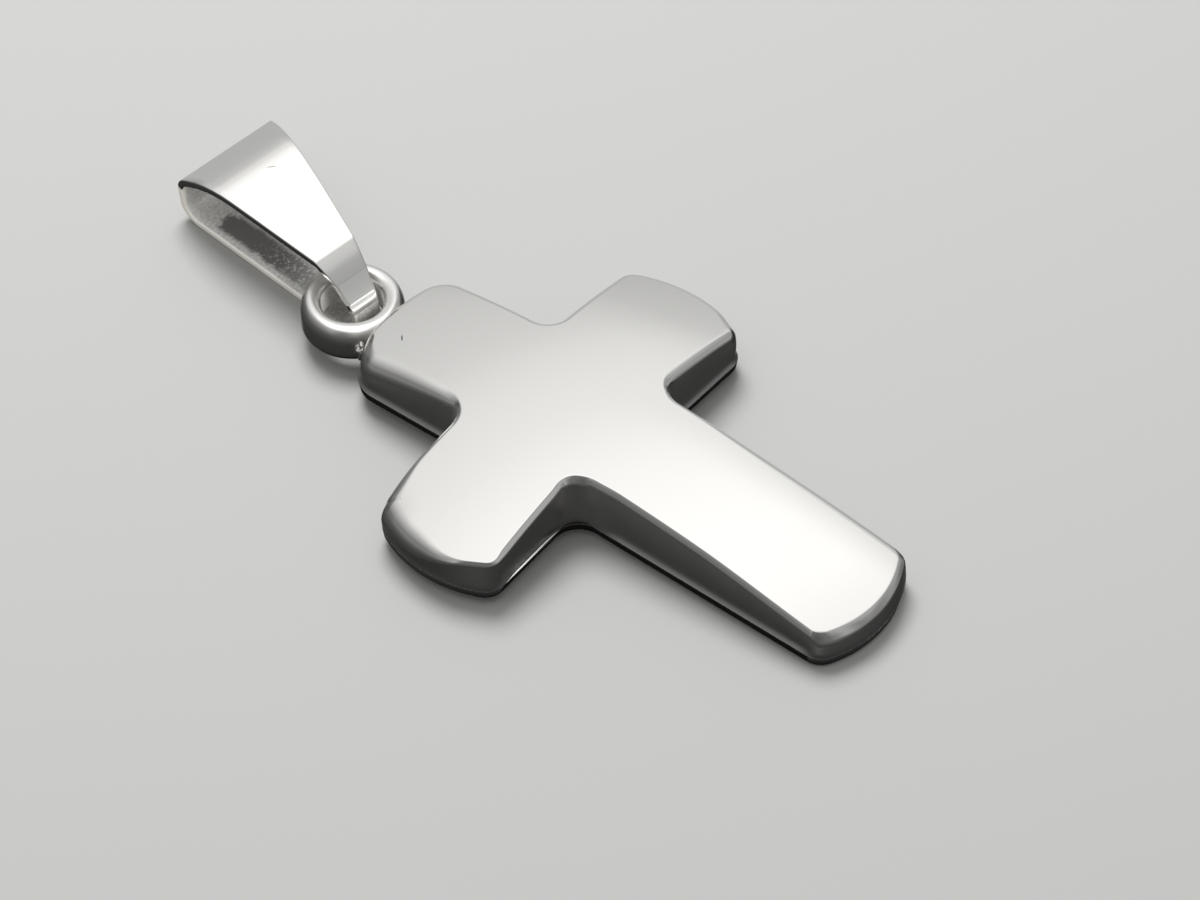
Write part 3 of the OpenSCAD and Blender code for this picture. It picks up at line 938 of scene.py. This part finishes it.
class PENDANT_OT_stage(bpy.types.Operator):
    """Make the plain floor, the soft studio light and the camera"""
    bl_idname = "pendant.stage"
    bl_label = "Stage"

    def execute(self, context):
        self.floor(context)
        self.sky(context.scene)
        for card in CARDS:
            self.card(context, *card)
        self.camera(context)
        context.scene.view_settings.view_transform = "Standard"
        return {"FINISHED"}

    def floor(self, context):
        bm = bmesh.new()
        bmesh.ops.create_circle(bm, cap_ends=True, segments=96, radius=1.5)
        bmesh.ops.translate(bm, verts=bm.verts, vec=(0, 0, CAD_BOX[0][2]))
        colour_of_floor = (*context.scene.pendant.finish.floor, 1.0)
        paint, _, _ = new_material("matt_paint", {"Base Color": colour_of_floor, "Roughness": 0.9})
        piece = make_object(context, "floor", bm, [paint])
        # The metal mirrors a dark room below the horizon instead
        piece.visible_glossy = False

    def sky(self, scene):
        """A bright ceiling, dimmer towards +Y, towards -X and low at +X, over a dark ground that is pale towards
        +X +Y, and a dim strip along the horizon at -Y. The camera sees a plain pale backdrop."""
        world = bpy.data.worlds.new("soft_room")
        world.use_nodes = True
        scene.world = world
        tree = world.node_tree
        way = add_node(tree, "TexCoord", output="Generated")
        z = add_node(tree, "SeparateXYZ", {0: way}, output="Z")
        height = add_node(tree, "Math", {0: z, 1: 0.1}, operation="MAXIMUM")
        overhead = add_node(tree, "VectorMath", {0: way, 1: height}, operation="DIVIDE")
        # Ramps run from 0 to 1: they hold half of a direction plus a half, or a quarter of a ceiling place plus a half
        half, quarter = [
            add_node(tree, "SeparateXYZ", {
                0: add_node(tree, "VectorMath", {
                    0: vector, 1: (scale,) * 3, 2: (0.5,) * 3,
                }, operation="MULTIPLY_ADD"),
            }).node.outputs
            for vector, scale in ((way, 0.5), (overhead, 0.25))
        ]
        ceiling = multiplied(tree, [
            (quarter["Y"], [
                (0.02, 0.36), (0.1, 0.355), (0.2, 0.325), (0.25, 0.3), (0.33, 0.34), (0.38, 0.43), (0.43, 0.56),
                (0.47, 0.67), (0.5, 0.84), (0.53, 1.0), (0.56, 1.0), (0.59, 0.93), (0.61, 0.85), (0.627, 0.79),
                (0.65, 0.76), (0.69, 0.7), (0.73, 0.62), (0.8, 0.58), (1.0, 0.5),
            ]),
            (quarter["X"], [
                (0.0, 0.37), (0.08, 0.43), (0.1625, 0.52), (0.255, 0.6), (0.3275, 0.71), (0.386, 0.82),
                (0.4375, 0.92), (0.48, 0.98), (0.5125, 1.0), (0.84, 1.0), (0.9, 0.94), (0.97, 0.86),
            ]),
            (half["Y"], [(0.93, 1.0), (0.985, 0.35)]),
        ])
        # The rounded edge under the right arm mirrors the dimmer part at +X
        dim = multiplied(tree, [
            (quarter["X"], [(0.69, 0.0), (0.75, 0.37), (0.87, 0.5)]),
            (quarter["Y"], [(0.36, 0.0), (0.44, 1.0), (0.56, 1.0), (0.63, 0.0)]),
        ])
        ground = multiplied(tree, [
            (half["Z"], [
                (0.0, 0.002), (0.06, 0.009), (0.085, 0.018), (0.1, 0.022), (0.1325, 0.027), (0.2, 0.035),
                (0.3, 0.053), (0.4, 0.07), (0.46, 0.1),
            ]),
            (half["X"], [(0.5, 1.0), (0.76, 1.0), (0.835, 0.6), (0.9, 0.45)]),
        ])
        far = multiplied(tree, [(half["Y"], [(0.55, 0.0), (0.65, 1.0)]), (half["X"], [(0.6, 0.0), (0.75, 1.0)])])
        above = multiplied(tree, [(half["Z"], [(0.47, 0.0), (0.56, 1.0)])])
        strip = multiplied(tree, [
            (half["Z"], [(0.42, 0.0), (0.46, 1.0), (0.61, 1.0), (0.67, 0.0)]),
            (half["Y"], [(0.08, 1.0), (0.2, 0.0)]),
            (half["X"], [(0.5, 0.0), (0.6, 1.0)]),
        ])
        ceiling = add_node(tree, "Mix", {"Factor": dim, "A": ceiling, "B": 0.0})
        light = ground
        for part, level in ((far, 0.42), (above, ceiling), (strip, 0.19)):
            light = add_node(tree, "Mix", {"Factor": part, "A": light, "B": level})
        seen = add_node(tree, "Mix", {
            "Factor": add_node(tree, "LightPath", output="Is Camera Ray"), "A": light,
            "B": (*linear("C2C2C1"), 1.0),
        }, data_type="RGBA")
        background = tree.nodes["Background"]
        tree.links.new(seen, background.inputs["Color"])
        background.inputs["Strength"].default_value = 1.12

    def card(self, context, name, radius, radiance, target, offset, mirrored, pieces):
        """A round card of even light that faces its target."""
        radius *= MM
        data = bpy.data.lights.new(name, "AREA")
        data.shape = "DISK"
        data.size = 2 * radius
        data.energy = radiance * (math.pi * radius) ** 2
        lamp = bpy.data.objects.new(name, data)
        context.scene.collection.objects.link(lamp)
        lamp.location = (Vector(target) + Vector(offset)) * MM
        lamp.rotation_euler = (-Vector(offset)).to_track_quat("-Z", "Y").to_euler()
        lamp.visible_glossy = mirrored
        if pieces:
            lit = bpy.data.collections.new(name)
            for piece in pieces:
                lit.objects.link(bpy.data.objects[piece])
            lamp.light_linking.receiver_collection = lit

    def camera(self, context):
        """The camera that was fitted to the photograph's 1200 pixels of width; it leans with the pendant."""
        azimuth, elevation = math.radians(-51.7596), math.radians(48.073)
        target, distance = Vector((0.842, -1.262, 0)) * MM, 200 * MM
        photo_width, focal_pixels, sensor = 1200, 4916.2, 36
        right = Vector((math.cos(azimuth), math.sin(azimuth), 0))
        away = Vector((math.sin(azimuth), -math.cos(azimuth), 0))
        back = away * math.cos(elevation) + Vector((0, 0, math.sin(elevation)))
        axes = Matrix((right, back.cross(right), back)).transposed().to_4x4()
        data = bpy.data.cameras.new("camera")
        data.sensor_width = sensor
        data.lens = sensor * focal_pixels / photo_width
        data.clip_start, data.clip_end = 0.01, 10
        camera = bpy.data.objects.new("camera", data)
        context.scene.collection.objects.link(camera)
        camera.matrix_world = Matrix.Rotation(LEAN, 4, "X") @ Matrix.Translation(target + back * distance) @ axes
        context.scene.camera = camera


class PENDANT_PT_panel(bpy.types.Panel):
    """Lists the pendant's pieces and their sizes"""
    bl_idname = "PENDANT_PT_panel"
    bl_label = "Cross Pendant"
    bl_space_type = "VIEW_3D"
    bl_region_type = "UI"
    bl_category = "Pendant"

    def draw(self, context):
        layout = self.layout
        settings = context.scene.pendant
        for group in (settings.cross, settings.ring, settings.bail, settings.finish):
            box = layout.box()
            for key in group.__annotations__:
                box.prop(group, key)
        for step in STEPS:
            layout.operator(step.bl_idname)


STEPS = (
    PENDANT_OT_cross_body,
    PENDANT_OT_back_plate,
    PENDANT_OT_ring,
    PENDANT_OT_bail,
    PENDANT_OT_stage,
)
CLASSES = (CrossSizes, RingSizes, BailSizes, Finishes, PendantSettings, *STEPS, PENDANT_PT_panel)


def register():
    for item in CLASSES:
        bpy.utils.register_class(item)
    bpy.types.Scene.pendant = PointerProperty(type=PendantSettings)


def unregister():
    del bpy.types.Scene.pendant
    for item in reversed(CLASSES):
        bpy.utils.unregister_class(item)


def main():
    register()
    for step in STEPS:
        group, name = step.bl_idname.split(".")
        getattr(getattr(bpy.ops, group), name)()


if __name__ == "__main__":
    main()
